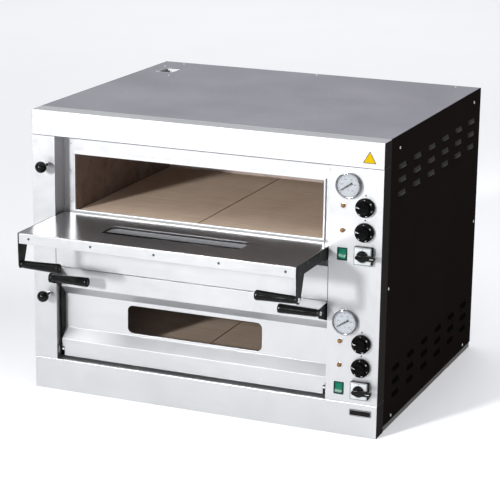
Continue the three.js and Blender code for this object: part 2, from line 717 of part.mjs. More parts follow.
function mainSwitch(deck) {
  const half = SWITCH.side / 2;
  const plate = pushedAlongY(
    roundedRectangle([SWITCH.x - half, SWITCH.x + half], [SWITCH.z - half, SWITCH.z + half], SWITCH.corner),
    [-SWITCH.depth, -GAP],
    3,
  ).subtract(barY(SWITCH.x, SWITCH.z, SWITCH.shaft + 1, [-SWITCH.depth - OVERSHOOT, OVERSHOOT]));
  const front = SWITCH.depth + 0.6;
  const domeTop = front + LEVER.thick;
  const bar = new THREE.BoxGeometry(LEVER.long - LEVER.short, LEVER.height, LEVER.thick);
  bar.translate((LEVER.short + LEVER.long) / 2, -domeTop, 0);
  const lever = join([
    turned([
      [0, -10],
      [SWITCH.shaft, -10],
      [SWITCH.shaft, front],
      [LEVER.dome, front],
      [LEVER.dome - 1, front + 6],
      [LEVER.dome - 6, domeTop],
      [0, domeTop],
    ]),
    solid(bar),
  ]);
  return [
    piece(`${deck}_switch_plate`, plate, finish(0xc8cacb, 0.4, 0.3)),
    piece(`${deck}_switch_lever`, lever, BLACK_PLASTIC(), panelPoint(SWITCH.x, SWITCH.z)),
  ];
}

// ---------------------------------------------------------------- assembly

function deckPieces(deck, lift, doorOpening) {
  const group = new THREE.Group();
  group.position.z = lift;
  group.add(
    chamberLiner(deck),
    mouthFrame(deck),
    ...bakingStones(deck),
    heatingElement(deck, 'roof'),
    heatingElement(deck, 'floor'),
    damperPull(deck),
    hingePin(deck, 'left'),
    hingePin(deck, 'right'),
    door(deck, doorOpening),
    ...gauge(deck),
    thermostatKnob(deck, 'top'),
    thermostatKnob(deck, 'bottom'),
    lightRocker(deck),
    ...mainSwitch(deck),
  );
  return group;
}

const oven = new THREE.Group();
oven.add(
  basePan(),
  plinthFront(),
  topFascia(),
  leftColumn(),
  controlPanel(),
  midFascia(),
  leftSidePanel(),
  rightSidePanel(),
  topCover(),
  backPanel(),
  steamDuct(),
  cableGland(),
  badgePlaque(),
  deckPieces('lower', 0, 0),
  deckPieces('upper', DECK_PITCH, Math.PI / 2),
);

export default oven;
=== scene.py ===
"""Countertop pizza oven with two baking decks: the visual model round its CAD frame."""

import json
import math

import bmesh
import bpy
from mathutils import Matrix, Vector


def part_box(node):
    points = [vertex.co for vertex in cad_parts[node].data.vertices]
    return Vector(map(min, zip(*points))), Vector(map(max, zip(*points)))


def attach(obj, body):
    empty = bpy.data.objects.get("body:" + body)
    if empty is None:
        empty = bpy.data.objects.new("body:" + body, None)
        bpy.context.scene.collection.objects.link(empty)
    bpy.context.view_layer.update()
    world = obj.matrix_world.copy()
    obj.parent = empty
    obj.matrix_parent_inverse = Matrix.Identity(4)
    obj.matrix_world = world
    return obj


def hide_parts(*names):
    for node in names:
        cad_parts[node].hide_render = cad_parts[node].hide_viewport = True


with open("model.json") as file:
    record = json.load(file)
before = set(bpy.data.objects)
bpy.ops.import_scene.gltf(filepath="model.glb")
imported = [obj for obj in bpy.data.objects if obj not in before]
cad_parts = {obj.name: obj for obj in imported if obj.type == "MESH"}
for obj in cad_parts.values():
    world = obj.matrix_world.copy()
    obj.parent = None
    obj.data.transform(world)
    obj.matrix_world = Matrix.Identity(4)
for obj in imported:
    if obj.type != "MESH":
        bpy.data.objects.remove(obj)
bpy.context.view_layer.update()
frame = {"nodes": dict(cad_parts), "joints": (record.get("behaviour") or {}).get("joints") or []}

scene = bpy.context.scene
MM = 0.001
DECKS = ("lower", "upper")


# ------------------------------------------------------------------ places in the row frame

COLUMN_EDGE, PANEL_EDGE = -421.5, 348  # sides of the recess that holds the doors
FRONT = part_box("plinth_front")[0].y
JOINTS = {joint["name"]: joint for joint in frame["joints"]}
HINGE = Vector(JOINTS["lower_door_hinge"]["pos_m"])
DECK_PITCH = JOINTS["upper_door_hinge"]["pos_m"][2] - HINGE.z
LIFT = {"lower": 0.0, "upper": DECK_PITCH}


def at(x, depth, z):
    """A point from its X, its depth behind the front plane and its height, all in mm."""
    return Vector((x * MM, FRONT + depth * MM, z * MM))


def centre(node):
    low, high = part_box(node)
    return (low + high) / 2


def turn(degrees, axis):
    return Matrix.Rotation(math.radians(degrees), 4, axis)


def moved(vector):
    return Matrix.Translation(vector)


def facing_front(x, z, out=0.0):
    """Local X right, Y up and Z out of the front, in mm, at a point on the front plane."""
    return moved(at(x, -out, z)) @ turn(90, "X") @ Matrix.Scale(MM, 4)


def facing_right(depth, z, x):
    """Local Z towards the right side, in mm."""
    return moved(at(x, depth, z)) @ turn(90, "Y") @ Matrix.Scale(MM, 4)


def facing_left(depth, z, x):
    return moved(at(x, depth, z)) @ turn(-90, "Y") @ Matrix.Scale(MM, 4)


def facing_up(x, depth, z):
    return moved(at(x, depth, z)) @ Matrix.Scale(MM, 4)


def facing_back(x, z, depth):
    return moved(at(x, depth, z)) @ turn(-90, "X") @ Matrix.Scale(MM, 4)


# as the row frame, in mm, with depths from the front plane
FROM_FRONT = moved(Vector((0, FRONT, 0))) @ Matrix.Scale(MM, 4)


def deck_place(deck):
    return moved(Vector((0, 0, LIFT[deck])))


def door_place(deck):
    """From the closed lower door to that deck's door at rest: the upper one stands open."""
    swing = turn(90, "X") if deck == "upper" else Matrix()
    return deck_place(deck) @ moved(HINGE) @ swing @ moved(-HINGE)


# ------------------------------------------------------------------ camera

CAMERA_AT = Vector((1.9349, -4.7643, 1.7377))
AZIMUTH, ELEVATION, ROLL = 22.484, 15.240, 0.780
LENS = 138.4


def make_camera():
    azimuth, elevation, roll = (math.radians(a) for a in (AZIMUTH, ELEVATION, ROLL))
    back = Vector((
        math.sin(azimuth) * math.cos(elevation),
        -math.cos(azimuth) * math.cos(elevation),
        math.sin(elevation),
    ))
    level = Vector((math.cos(azimuth), math.sin(azimuth), 0))
    upright = back.cross(level)
    right = math.cos(roll) * level + math.sin(roll) * upright
    up = -math.sin(roll) * level + math.cos(roll) * upright
    camera = bpy.data.objects.new("camera", bpy.data.cameras.new("camera"))
    camera.data.lens = LENS
    camera.data.sensor_width = 36
    camera.data.clip_end = 200
    rotation = Matrix((right, up, back)).transposed().to_4x4()
    camera.matrix_world = moved(CAMERA_AT) @ rotation
    scene.collection.objects.link(camera)
    scene.camera = camera


make_camera()


# ------------------------------------------------------------------ studio

def hang(light, place, target, power):
    """Puts a light at a place, in metres, and points it at its target."""
    light.energy = power
    lamp = bpy.data.objects.new(light.name, light)
    lamp.location = place
    lamp.rotation_mode = "QUATERNION"
    lamp.rotation_quaternion = (Vector(target) - Vector(place)).to_track_quat("-Z", "Y")
    scene.collection.objects.link(lamp)


def area_light(name, place, target, size, power):
    light = bpy.data.lights.new(name, "AREA")
    light.shape = "RECTANGLE"
    light.size, light.size_y = size
    hang(light, place, target, power)


def key_light(place, target, radius, cone, power):
    light = bpy.data.lights.new("key", "SPOT")
    light.shadow_soft_size = radius
    light.spot_size = math.radians(cone)
    light.spot_blend = 0.35
    hang(light, place, target, power)


def make_studio():
    scene.view_settings.view_transform = "Standard"
    key_light((-2.0, -5.4, 1.9), (0, -0.4, 0.42), radius=0.3, cone=19.5, power=1700)
    area_light("fill", (0.4, -5.6, 1.3), (0, -0.4, 0.4), size=(2.4, 1.2), power=58)
    area_light("floor_glow", (-1.4, -2.9, 3.0), (-1.4, -2.8, 0), size=(3.6, 2.6), power=12)
    area_light("high_front", (-1.6, -2.4, 3.4), (-0.1, -0.4, 0.2), size=(1.2, 1.2), power=14)
    area_light("floor_right", (2.6, 0.4, 2.6), (2.0, 0.3, 0), size=(2.2, 3.0), power=45)
    area_light("softbox_top", (-0.6, -1.0, 4.0), (-0.4, -0.6, 0), size=(4.0, 4.0), power=25)
    area_light("softbox_back", (-2.5, 6.5, 5.5), (-2.5, 5.5, 0), size=(8.0, 6.0), power=185)
    world = bpy.data.worlds.new("studio")
    world.use_nodes = True
    tree = world.node_tree
    background = tree.nodes["Background"]
    background.inputs["Color"].default_value = (0.94, 0.95, 1.0, 1)
    direction = tree.nodes.new("ShaderNodeTexCoord").outputs["Generated"]
    split = tree.nodes.new("ShaderNodeSeparateXYZ")
    dome = tree.nodes.new("ShaderNodeMapRange")
    for socket, value in zip(("From Min", "From Max", "To Min", "To Max"), (0.2, 0.9, 0.26, 0.9)):
        dome.inputs[socket].default_value = value
    tree.links.new(direction, split.inputs[0])
    tree.links.new(split.outputs["Z"], dome.inputs["Value"])
    tree.links.new(dome.outputs["Result"], background.inputs["Strength"])
    scene.world = world


make_studio()


# ------------------------------------------------------------------ finishes

class Finish:
    """A Principled material with a few short-hands for the textures that feed it."""

    def __init__(self, name, **sockets):
        self.material = bpy.data.materials.new(name)
        self.material.use_nodes = True
        self.tree = self.material.node_tree
        self.shader = self.tree.nodes["Principled BSDF"]
        texture_space = self.tree.nodes.new("ShaderNodeTexCoord")
        self.coordinates = texture_space.outputs["Object"]
        self.normal = texture_space.outputs["Normal"]
        for socket, value in sockets.items():
            name = socket.replace("_", " ")
            known = {key.lower(): key for key in self.shader.inputs.keys()}
            self.shader.inputs[known[name.lower()]].default_value = value

    def node(self, kind, **settings):
        made = self.tree.nodes.new(kind)
        for key, value in settings.items():
            setattr(made, key, value)
        return made

    def link(self, source, target):
        self.tree.links.new(source, target)

    def stretched(self, scale):
        mapping = self.node("ShaderNodeMapping")
        mapping.inputs["Scale"].default_value = scale
        self.link(self.coordinates, mapping.inputs["Vector"])
        return mapping.outputs["Vector"]

    def noise(self, per_metre, detail=3.0, rough=0.5):
        """Noise with this many features to the metre, as one number or one for each axis."""
        scale = (per_metre,) * 3 if isinstance(per_metre, (int, float)) else per_metre
        texture = self.node("ShaderNodeTexNoise")
        texture.inputs["Scale"].default_value = 1
        texture.inputs["Detail"].default_value = detail
        texture.inputs["Roughness"].default_value = rough
        self.link(self.stretched(scale), texture.inputs["Vector"])
        return texture.outputs["Fac"]

    def cells(self, per_metre):
        texture = self.node("ShaderNodeTexVoronoi")
        texture.inputs["Scale"].default_value = per_metre
        self.link(self.coordinates, texture.inputs["Vector"])
        return texture.outputs["Distance"]

    def across(self, vector):
        """How far a vector reaches to either side."""
        split = self.node("ShaderNodeSeparateXYZ")
        size = self.node("ShaderNodeMath", operation="ABSOLUTE")
        self.link(vector, split.inputs[0])
        self.link(split.outputs["X"], size.inputs[0])
        return size.outputs[0]

    def pointiness(self):
        return self.node("ShaderNodeNewGeometry").outputs["Pointiness"]

    def ranged(self, source, start, end, low, high):
        """source from start to end becomes low to high."""
        made = self.node("ShaderNodeMapRange")
        for socket, value in zip(("From Min", "From Max", "To Min", "To Max"), (start, end, low, high)):
            made.inputs[socket].default_value = value
        self.link(source, made.inputs["Value"])
        return made.outputs["Result"]

    def sum(self, *sources):
        total = sources[0]
        for source in sources[1:]:
            made = self.node("ShaderNodeMath", operation="ADD")
            self.link(total, made.inputs[0])
            self.link(source, made.inputs[1])
            total = made.outputs[0]
        return total

    def mixed(self, amount, first, second):
        """Colour from first to second; each is a colour or a socket."""
        made = self.node("ShaderNodeMix", data_type="RGBA")
        self.link(amount, made.inputs[0])
        for socket, value in ((made.inputs[6], first), (made.inputs[7], second)):
            if isinstance(value, tuple):
                socket.default_value = (*value, 1)
            else:
                self.link(value, socket)
        return made.outputs[2]

    def colour(self, source):
        self.link(source, self.shader.inputs["Base Color"])

    def roughness(self, source):
        self.link(source, self.shader.inputs["Roughness"])

    def bump(self, source, height, strength=1.0):
        """Relief with this much height, in mm."""
        made = self.node("ShaderNodeBump")
        made.inputs["Distance"].default_value = height * MM
        made.inputs["Strength"].default_value = strength
        self.link(source, made.inputs["Height"])
        self.link(made.outputs["Normal"], self.shader.inputs["Normal"])


def brushed(name, dark, light, rough, grain, spread=0.1, metallic=1.0, fold_shade=None):
    """Brushed sheet steel; grain gives the streaks' features to the metre on each axis.

    The last argument is the pair of colours painted on the folded sides as shade and reflection: grey inside
    the recess, near-black and without metal outside the casing.
    """
    steel = Finish(name, metallic=metallic, specular_ior_level=0.0 if fold_shade else 0.5)
    streaks = steel.noise(grain, 4.0, 0.6)
    smears = steel.noise(5.0, 3.0, 0.55)
    stains = steel.noise(38.0, 4.0, 0.6)
    face = steel.mixed(steel.ranged(smears, 0.3, 0.7, 0, 1), dark, light)
    if fold_shade:
        # Painted shade: the folded sides take flat colours that stand in for their shade and dark
        # reflections, and outside the casing they lose their metal too.
        inner, outer = fold_shade
        outside = steel.ranged(steel.across(steel.coordinates), 0.44, 0.48, 0, 1)
        folded = steel.ranged(steel.across(steel.normal), 0.6, 0.8, 0, 1)
        face = steel.mixed(folded, face, steel.mixed(outside, inner, outer))
        outer_fold_shade = steel.node("ShaderNodeMath", operation="MULTIPLY")
        steel.link(outside, outer_fold_shade.inputs[0])
        steel.link(folded, outer_fold_shade.inputs[1])
        steel.link(
            steel.ranged(outer_fold_shade.outputs[0], 0, 1, metallic, 0.0), steel.shader.inputs["Metallic"])
    steel.colour(face)
    steel.roughness(steel.sum(
        steel.ranged(streaks, 0.25, 0.75, rough - spread / 2, rough + spread / 2),
        steel.ranged(stains, 0.35, 0.75, 0, 0.05),
    ))
    steel.bump(streaks, 0.004, 0.35)
    return steel.material


def painted(name, base, worn, rough, specular):
    """Textured stove paint, rubbed lighter along its edges."""
    paint = Finish(name, specular_ior_level=specular)
    peel = paint.noise(700.0, 2.0)
    dust = paint.noise(9.0, 4.0, 0.6)
    rubbed = paint.ranged(paint.pointiness(), 0.56, 0.70, 0, 0.8)
    dusty = paint.mixed(paint.ranged(dust, 0.35, 0.75, 0, 1), base, tuple(c * 1.15 for c in base))
    paint.colour(paint.mixed(rubbed, dusty, worn))
    paint.roughness(paint.ranged(dust, 0.3, 0.7, rough - 0.06, rough + 0.08))
    paint.bump(peel, 0.05, 0.5)
    return paint.material


def moulded(name, base, worn, rough, grain_height=0.02, specular=0.5):
    """Moulded plastic with a fine grain and a slightly polished edge."""
    plastic = Finish(name, specular_ior_level=specular)
    grain = plastic.noise(1500.0, 2.0)
    wear = plastic.noise(60.0, 4.0, 0.6)
    edges = plastic.ranged(plastic.pointiness(), 0.54, 0.68, 0, 0.6)
    mottled = plastic.mixed(
        plastic.ranged(wear, 0.3, 0.7, 0, 1), base, tuple(c * 1.3 for c in base)
    )
    plastic.colour(plastic.mixed(edges, mottled, worn))
    plastic.roughness(plastic.ranged(wear, 0.3, 0.7, rough - 0.05, rough + 0.08))
    plastic.bump(grain, grain_height, 0.4)
    return plastic.material


def fired_clay():
    clay = Finish("fired_clay", specular_ior_level=0.25)
    grain = clay.noise(420.0, 5.0, 0.65)
    clouds = clay.noise((7.0, 3.0, 7.0), 4.0, 0.6)
    strokes = clay.noise((6.0, 90.0, 6.0), 3.0, 0.6)
    pits = clay.cells(260.0)
    body = clay.mixed(clay.ranged(clouds, 0.3, 0.7, 0, 1), (0.53, 0.405, 0.305), (0.63, 0.50, 0.39))
    streaky = clay.mixed(clay.ranged(strokes, 0.42, 0.75, 0, 0.35), body, (0.33, 0.235, 0.17))
    speckled = clay.mixed(clay.ranged(grain, 0.58, 0.75, 0, 0.35), streaky, (0.20, 0.14, 0.10))
    clay.colour(speckled)
    clay.roughness(clay.ranged(grain, 0.3, 0.7, 0.82, 0.95))
    clay.bump(clay.sum(clay.ranged(pits, 0, 0.25, 0, 0.6), grain), 0.25, 0.6)
    return clay.material


def baked_steel():
    """Chamber lining, tinted brown by heat."""
    steel = Finish("baked_steel", metallic=0.85)
    clouds = steel.noise(8.0, 4.0, 0.6)
    soot = steel.noise(30.0, 5.0, 0.65)
    tint = steel.mixed(steel.ranged(clouds, 0.3, 0.7, 0, 1), (0.30, 0.235, 0.205), (0.40, 0.33, 0.30))
    steel.colour(steel.mixed(steel.ranged(soot, 0.5, 0.75, 0, 0.5), tint, (0.12, 0.09, 0.075)))
    steel.roughness(steel.ranged(soot, 0.3, 0.7, 0.42, 0.6))
    steel.bump(steel.noise(220.0, 3.0), 0.04, 0.4)
    return steel.material


def coated_cover():
    """Zinc-coated cover sheet: pale grey with a faint spangle."""
    steel = Finish("coated_cover", metallic=0.9)
    spangle = steel.cells(70.0)
    clouds = steel.noise(4.0, 4.0, 0.55)
    fine = steel.noise((900.0, 60.0, 900.0), 3.0)
    cloudy = steel.ranged(clouds, 0.3, 0.7, 0, 1)
    tint = steel.mixed(cloudy, (0.235, 0.23, 0.262), (0.28, 0.275, 0.308))
    steel.colour(steel.mixed(steel.ranged(spangle, 0.1, 0.7, 0, 0.25), tint, (0.235, 0.23, 0.26)))
    steel.roughness(steel.sum(
        steel.ranged(fine, 0.3, 0.7, 0.34, 0.42), steel.ranged(clouds, 0.3, 0.7, 0, 0.06)
    ))
    steel.bump(fine, 0.02, 0.3)
    return steel.material


def smoked_glass():
    glass = Finish("smoked_glass", alpha=0.10, ior=1.5, specular_ior_level=0.05)
    haze = glass.noise(12.0, 4.0, 0.6)
    hazy = glass.ranged(haze, 0.3, 0.7, 0, 1)
    glass.colour(glass.mixed(hazy, (0.010, 0.008, 0.007), (0.03, 0.024, 0.02)))
    glass.roughness(glass.ranged(haze, 0.3, 0.7, 0.03, 0.10))
    return glass.material


def clear_lens():
    lens = Finish("clear_lens", alpha=0.06, ior=1.45)
    haze = lens.noise(90.0, 4.0, 0.6)
    lens.colour(lens.mixed(haze, (0.7, 0.72, 0.75), (0.9, 0.92, 0.95)))
    lens.roughness(lens.ranged(haze, 0.3, 0.7, 0.02, 0.09))
    return lens.material


def tinted_plastic(name, deep, bright, glow, rough=0.22):
    """Translucent coloured plastic over a pilot light that is off."""
    plastic = Finish(name, subsurface_weight=glow, subsurface_scale=0.003, specular_ior_level=0.15)
    ribs = plastic.noise(300.0, 3.0)
    cast = plastic.noise(45.0, 3.0, 0.55)
    plastic.colour(plastic.mixed(plastic.ranged(cast, 0.3, 0.7, 0, 1), deep, bright))
    plastic.roughness(plastic.ranged(ribs, 0.3, 0.7, rough - 0.05, rough + 0.08))
    plastic.bump(ribs, 0.05, 0.3)
    return plastic.material


def printed(name, base, rough=0.5, specular=0.3):
    """Ink or enamel, a little uneven."""
    ink = Finish(name, specular_ior_level=specular)
    flecks = ink.noise(800.0, 3.0)
    ink.colour(ink.mixed(
        ink.ranged(flecks, 0.3, 0.7, 0, 1), base, tuple(min(1.0, c * 1.25 + 0.004) for c in base)
    ))
    ink.roughness(ink.ranged(flecks, 0.3, 0.7, rough - 0.05, rough + 0.1))
    ink.bump(flecks, 0.01, 0.3)
    return ink.material


def plain_floor():
    floor = Finish("studio_floor", specular_ior_level=0.1)
    faint = floor.noise(2.0, 3.0)
    floor.colour(floor.mixed(faint, (0.86, 0.86, 0.87), (0.88, 0.88, 0.885)))
    floor.roughness(floor.ranged(faint, 0.3, 0.7, 0.75, 0.85))
    return floor.material


ALONG_X = (4.0, 700.0, 700.0)

# Painted shade for the folded sides of the front: grey inside the recess, near-black outside the casing.
FOLD_SHADE_COLOURS = ((0.42, 0.411, 0.42), (0.021, 0.019, 0.0182))
STEEL = brushed(
    "stainless", (0.43, 0.436, 0.444), (0.475, 0.48, 0.488), 0.36, ALONG_X, 0.06, 0.92, FOLD_SHADE_COLOURS)
STEEL_INNER = brushed("stainless_inner", (0.28, 0.275, 0.28), (0.33, 0.325, 0.33), 0.21, ALONG_X, 0.05, 0.85)
BEZEL = brushed("bezel_steel", (0.20, 0.205, 0.215), (0.28, 0.285, 0.295), 0.18, (60.0, 60.0, 60.0), 0.06)
STEEL_TURNED = brushed(
    "stainless_turned", (0.70, 0.70, 0.71), (0.80, 0.80, 0.81), 0.14, (60.0, 60.0, 60.0), 0.06)
ZINC = brushed("zinc_plate", (0.45, 0.45, 0.46), (0.58, 0.58, 0.59), 0.38, (120.0, 120.0, 120.0), 0.12)
COVER = coated_cover()
CHAMBER = baked_steel()
CLAY = fired_clay()
BASE = brushed("base_steel", (0.10, 0.098, 0.095), (0.15, 0.147, 0.143), 0.5, ALONG_X)
PAINT = painted("black_paint", (0.0070, 0.0055, 0.0050), (0.025, 0.022, 0.020), 0.55, 0.0)
ARM_PAINT = painted("arm_paint", (0.004, 0.0038, 0.0036), (0.06, 0.055, 0.05), 0.38, 0.10)
DARK_SCREW = brushed("blackened_steel", (0.05, 0.05, 0.052), (0.09, 0.09, 0.092), 0.35, (300.0, 300.0, 300.0))
GRIP = moulded("grip_plastic", (0.0035, 0.0035, 0.0035), (0.012, 0.012, 0.012), 0.13, 0.003, specular=0.12)
KNOB = moulded("knob_plastic", (0.0022, 0.0022, 0.0024), (0.008, 0.008, 0.008), 0.34, specular=0.02)
BALL = moulded("ball_plastic", (0.0025, 0.0025, 0.0025), (0.012, 0.012, 0.012), 0.10, 0.005, specular=0.16)
SWITCH_GREY = moulded("switch_grey", (0.36, 0.38, 0.385), (0.5, 0.52, 0.52), 0.38, specular=0.2)
GREEN = tinted_plastic("rocker_green", (0.0006, 0.072, 0.041), (0.0015, 0.115, 0.066), 0.0)
GREEN_DARK = tinted_plastic("rocker_frame_green", (0.001, 0.018, 0.013), (0.002, 0.030, 0.021), 0.0, 0.35)
AMBER = tinted_plastic("lamp_amber", (0.09, 0.042, 0.014), (0.24, 0.12, 0.04), 0.0)
DIAL = printed("dial_enamel", (0.26, 0.275, 0.295), 0.4, 0.1)
INK = printed("black_ink", (0.012, 0.012, 0.014))
WHITE_INK = printed("white_ink", (0.62, 0.62, 0.60))
YELLOW = printed("label_yellow", (0.37, 0.245, 0.001), 0.4, 0.0)
BADGE = moulded("badge_enamel", (0.006, 0.0055, 0.006), (0.03, 0.03, 0.033), 0.35, specular=0.05)
SMOKED = smoked_glass()
LENS_CLEAR = clear_lens()
ELEMENT = baked_steel()
ELEMENT.name = "element_sheath"


# ------------------------------------------------------------------ mesh code

class Body:
    """A mesh being built, in metres in the row frame."""

    def __init__(self):
        self.bm = bmesh.new()

    def ring(self, radius, height, place, segments, start=0.0):
        if radius < 1e-6:
            return [self.bm.verts.new(place @ Vector((0, 0, height)))]
        step = 2 * math.pi / segments
        return [
            self.bm.verts.new(place @ Vector((
                radius * math.cos(start + i * step), radius * math.sin(start + i * step), height,
            )))
            for i in range(segments)
        ]

    def bridge(self, first, second):
        count = max(len(first), len(second))
        for i in range(count):
            j = (i + 1) % count
            corners = [
                first[i % len(first)], first[j % len(first)],
                second[j % len(second)], second[i % len(second)],
            ]
            unique = list(dict.fromkeys(corners))
            if len(unique) > 2:
                self.bm.faces.new(unique)

    def lathe(self, profile, place, segments=40):
        """Turns a profile of (radius, height) in mm about the local Z."""
        rings = [self.ring(radius, height, place, segments) for radius, height in profile]
        for first, second in zip(rings, rings[1:]):
            self.bridge(first, second)
        return self

    def block(self, low, high, place, radius=0.0, segments=2):
        """Box between two corners in mm, with rounded edges."""
        part = bmesh.new()
        bmesh.ops.create_cube(part, size=1)
        low, high = Vector(low), Vector(high)
        for vert in part.verts:
            vert.co = Vector(
                low[i] + (vert.co[i] + 0.5) * (high[i] - low[i]) for i in range(3)
            )
        if radius:
            bmesh.ops.bevel(
                part, geom=list(part.edges), offset=radius, segments=segments,
                profile=0.5, affect="EDGES",
            )
        return self.add(part, place)

    def plate(self, outline, low, high, place, radius=0.0, segments=2):
        """Outline in local X and Y, from one height to another, with its rims rounded."""
        part = bmesh.new()
        base = [part.verts.new((x, y, low)) for x, y in outline]
        face = part.faces.new(base)
        made = bmesh.ops.extrude_face_region(part, geom=[face])
        top = [v for v in made["geom"] if isinstance(v, bmesh.types.BMVert)]
        for vert in top:
            vert.co.z = high
        if radius:
            rims = [e for e in part.edges if abs(e.verts[0].co.z - e.verts[1].co.z) < 1e-6]
            bmesh.ops.bevel(
                part, geom=rims, offset=radius, segments=segments, profile=0.5, affect="EDGES",
            )
        return self.add(part, place)

    def walls(self, levels, place, closed=False):
        """Walls through (outline, height) pairs in mm, and back to the first one if closed."""
        rings = [
            [self.bm.verts.new(place @ Vector((x, y, height))) for x, y in outline]
            for outline, height in levels
        ]
        following = rings[1:] + rings[:1] if closed else rings[1:]
        for first, second in zip(rings, following):
            self.bridge(first, second)
        return self

    def screw(self, place, radius=4.0, height=1.9):
        """Pan head with a cross recess."""
        rings = [(0, 1.0), (0.24, 0.99), (0.46, 0.93), (0.7, 0.78), (0.9, 0.5), (1.0, 0.12), (1.0, -0.1)]
        made = [self.ring(r * radius, h * height, place, 16) for r, h in rings]
        for first, second in zip(made, made[1:]):
            self.bridge(first, second)
        sunk = place.to_3x3() @ Vector((0, 0, -0.55 * height))
        for vert in made[0]:
            vert.co += sunk
        for ring in made[1:3]:
            for index in range(0, 16, 4):
                ring[index].co += sunk
        return self

    def text(self, letters, size, place, depth=0.12):
        """Numerals standing a little proud, centred on the local origin."""
        curve = bpy.data.curves.new("numerals", "FONT")
        curve.body = letters
        curve.size = size
        curve.extrude = depth
        curve.resolution_u = 3
        curve.align_x, curve.align_y = "CENTER", "CENTER"
        holder = bpy.data.objects.new("numerals", curve)
        scene.collection.objects.link(holder)
        evaluated = holder.evaluated_get(bpy.context.evaluated_depsgraph_get())
        mesh = bpy.data.meshes.new_from_object(evaluated)
        bpy.data.objects.remove(holder)
        bpy.data.curves.remove(curve)
        part = bmesh.new()
        part.from_mesh(mesh)
        bpy.data.meshes.remove(mesh)
        return self.add(part, place)

    def add(self, part, place):
        part.transform(place)
        mesh = bpy.data.meshes.new("part")
        part.to_mesh(mesh)
        part.free()
        self.bm.from_mesh(mesh)
        bpy.data.meshes.remove(mesh)
        return self

    def becomes(self, name, material, body, slot, replaces=(), smooth=35, place=None, subdivide=0):
        """Finishes the mesh as a piece that rides on a CAD body."""
        if place is not None:
            self.bm.transform(place)
        bmesh.ops.recalc_face_normals(self.bm, faces=list(self.bm.faces))
        mesh = bpy.data.meshes.new(name)
        self.bm.to_mesh(mesh)
        self.bm.free()
        mesh.materials.append(material)
        mesh.shade_smooth()
        mesh.set_sharp_from_angle(angle=math.radians(smooth))
        made = bpy.data.objects.new(name, mesh)
        scene.collection.objects.link(made)
        if subdivide:
            made.modifiers.new("surface", "SUBSURF").render_levels = subdivide
            made.modifiers["surface"].levels = subdivide
        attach(made, body)
        if replaces:
            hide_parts(*replaces)
        return made


def rounded_outline(width, height, radius, steps=5):
    """Rectangle with round corners about the local origin."""
    corners = [(1, -1, -90), (1, 1, 0), (-1, 1, 90), (-1, -1, 180)]
    points = []
    for sign_x, sign_y, start in corners:
        for step in range(steps + 1):
            angle = math.radians(start + 90 * step / steps)
            points.append((
                sign_x * (width / 2 - radius) + radius * math.cos(angle),
                sign_y * (height / 2 - radius) + radius * math.sin(angle),
            ))
    return points


# ------------------------------------------------------------------ CAD nodes that stay

def keep(node, material, radius=0.8, segments=2):
    """Gives a CAD node its finish, and its folded edges a small radius."""
    shown = frame["nodes"][node]
    shown.data.materials.clear()
    shown.data.materials.append(material)
    if radius:
        weld = shown.modifiers.new("weld", "WELD")
        weld.merge_threshold = 2e-6
        flat = shown.modifiers.new("flat_faces", "DECIMATE")
        flat.decimate_type = "DISSOLVE"
        flat.angle_limit = math.radians(0.5)
        fold = shown.modifiers.new("folded_edges", "BEVEL")
        fold.width = radius * MM
        fold.segments = segments
        fold.limit_method = "ANGLE"
        fold.angle_limit = math.radians(25)
        fold.use_clamp_overlap = True


def keep_casing():
    for node in ("top_fascia", "plinth_front", "mid_fascia", "left_column", "control_panel"):
        keep(node, STEEL, 1.0)
    keep("top_cover", COVER, 0.6)
    keep("back_panel", COVER, 0.5)
    keep("steam_duct", ZINC, 0.3)
    keep("base_pan", BASE, 0.5)
    keep("left_side_panel", PAINT, 0.7)
    keep("cable_gland", KNOB, 0.6)
    for deck in DECKS:
        keep(f"{deck}_mouth_frame", STEEL, 0.7)
        keep(f"{deck}_chamber_liner", CHAMBER, 0.4)
        keep(f"{deck}_door_skin", STEEL, 0.5)
        keep(f"{deck}_door_inner_panel", STEEL_INNER, 0.4)
        keep(f"{deck}_door_glass", SMOKED, 0)
        for side in ("left", "right"):
            keep(f"{deck}_stone_{side}", CLAY, 1.5, 3)
            keep(f"{deck}_hinge_pin_{side}", ZINC, 0.3)
            keep(f"{deck}_door_arm_{side}", ARM_PAINT, 0.5)


keep_casing()


# ------------------------------------------------------------------ controls

NEEDLE_LEAN = 57  # degrees clockwise from the dial's foot, at rest
KNOB_LEAN = 165  # degrees from the right to the knob's pointer, at rest
ROCKER_LEAN = -8  # half of the rocker's tilt


